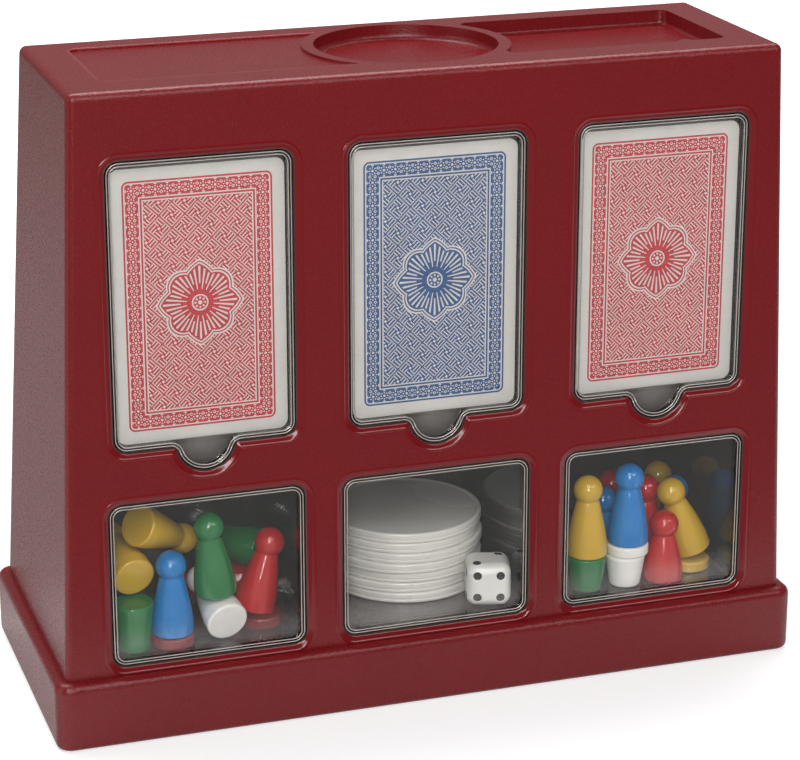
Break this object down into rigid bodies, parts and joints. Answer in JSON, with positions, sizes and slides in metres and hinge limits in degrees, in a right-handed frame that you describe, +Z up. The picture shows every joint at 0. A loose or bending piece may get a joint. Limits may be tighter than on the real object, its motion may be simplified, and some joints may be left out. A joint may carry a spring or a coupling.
{
  "type": "playing card and game piece box",
  "caption": "Upright box on a wide base with clear pull-out trays behind framed windows: decks of cards above, loose game pieces below, and shallow hollows in its top.",
  "frame": {"origin": "middle of the base's footprint, on the surface the box stands on", "axes": "+X to the right seen from the front, +Y to the back, +Z up; the windows face -Y"},
  "size_m": [0.256, 0.106, 0.212],
  "materials": {
    "case_red": "moulded, fine even grain, satin",
    "inner_dark": "smooth, satin",
    "tray_clear": "clear, polished",
    "card_back_red": "printed, satin varnish",
    "card_back_blue": "printed, satin varnish",
    "card_stock": "cut edges, matt",
    "piece_yellow": "smooth, glossy",
    "piece_blue": "smooth, glossy",
    "piece_green": "smooth, glossy",
    "piece_red": "smooth, glossy",
    "piece_white": "smooth, glossy",
    "disc_white": "smooth, satin gloss",
    "die_ivory": "smooth, glossy, dark pips",
    "screw_steel": "plain, dull"
  },
  "bodies": {
    "case": {"case_shell": "case_red", "base_plinth": "case_red", "back_panel": "case_red", "back_screws": "screw_steel", "base_screws": "screw_steel", "lower_wall_outer_left": "inner_dark", "lower_wall_inner_left": "inner_dark", "lower_wall_inner_right": "inner_dark", "lower_wall_outer_right": "inner_dark", "lower_rear_wall": "inner_dark", "upper_wall_outer_left": "inner_dark", "upper_wall_inner_left": "inner_dark", "upper_wall_inner_right": "inner_dark", "upper_wall_outer_right": "inner_dark", "upper_rear_wall": "inner_dark", "middle_shelf": "inner_dark"},
    "card_tray_left": {"card_tray_left": "tray_clear", "top_card_left": "card_back_red", "deck_left": "card_stock"},
    "card_tray_middle": {"card_tray_middle": "tray_clear", "top_card_middle": "card_back_blue", "deck_middle": "card_stock"},
    "card_tray_right": {"card_tray_right": "tray_clear", "top_card_right": "card_back_red", "deck_right": "card_stock"},
    "piece_tray_left": {"piece_tray_left": "tray_clear", "left_green_cone": "piece_green", "left_red_counter_front": "piece_red", "left_blue_pawn": "piece_blue", "left_white_pawn": "piece_white", "left_green_pawn_front": "piece_green", "left_red_counter_rear": "piece_red", "left_red_pawn_front": "piece_red", "left_yellow_pawn_lower": "piece_yellow", "left_yellow_pawn_upper": "piece_yellow", "left_green_pawn_rear": "piece_green", "left_red_pawn_lying": "piece_red"},
    "piece_tray_middle": {"piece_tray_middle": "tray_clear", "middle_die": "die_ivory", "middle_white_pawn": "piece_white", "middle_white_discs": "disc_white"},
    "piece_tray_right": {"piece_tray_right": "tray_clear", "right_green_cone": "piece_green", "right_yellow_pawn_on_cone": "piece_yellow", "right_white_cone": "piece_white", "right_white_counter": "piece_white", "right_blue_pawn_on_counter": "piece_blue", "right_red_pawn_front": "piece_red", "right_yellow_counter": "piece_yellow", "right_yellow_pawn_leaning": "piece_yellow", "right_blue_pawn_corner": "piece_blue", "right_red_counter": "piece_red", "right_red_pawn_middle": "piece_red", "right_blue_pawn_rear": "piece_blue", "right_red_pawn_rear": "piece_red", "right_yellow_pawn_rear": "piece_yellow"}
  },
  "joints": [
    {"name": "card_tray_left_slide", "type": "slide", "parent": "case", "child": "card_tray_left", "axis": [0, -1, 0], "range_m": [0, 0.031]},
    {"name": "card_tray_middle_slide", "type": "slide", "parent": "case", "child": "card_tray_middle", "axis": [0, -1, 0], "range_m": [0, 0.031]},
    {"name": "card_tray_right_slide", "type": "slide", "parent": "case", "child": "card_tray_right", "axis": [0, -1, 0], "range_m": [0, 0.031]},
    {"name": "piece_tray_left_slide", "type": "slide", "parent": "case", "child": "piece_tray_left", "axis": [0, -1, 0], "range_m": [0, 0.086]},
    {"name": "piece_tray_middle_slide", "type": "slide", "parent": "case", "child": "piece_tray_middle", "axis": [0, -1, 0], "range_m": [0, 0.086]},
    {"name": "piece_tray_right_slide", "type": "slide", "parent": "case", "child": "piece_tray_right", "axis": [0, -1, 0], "range_m": [0, 0.086]}
  ]
}
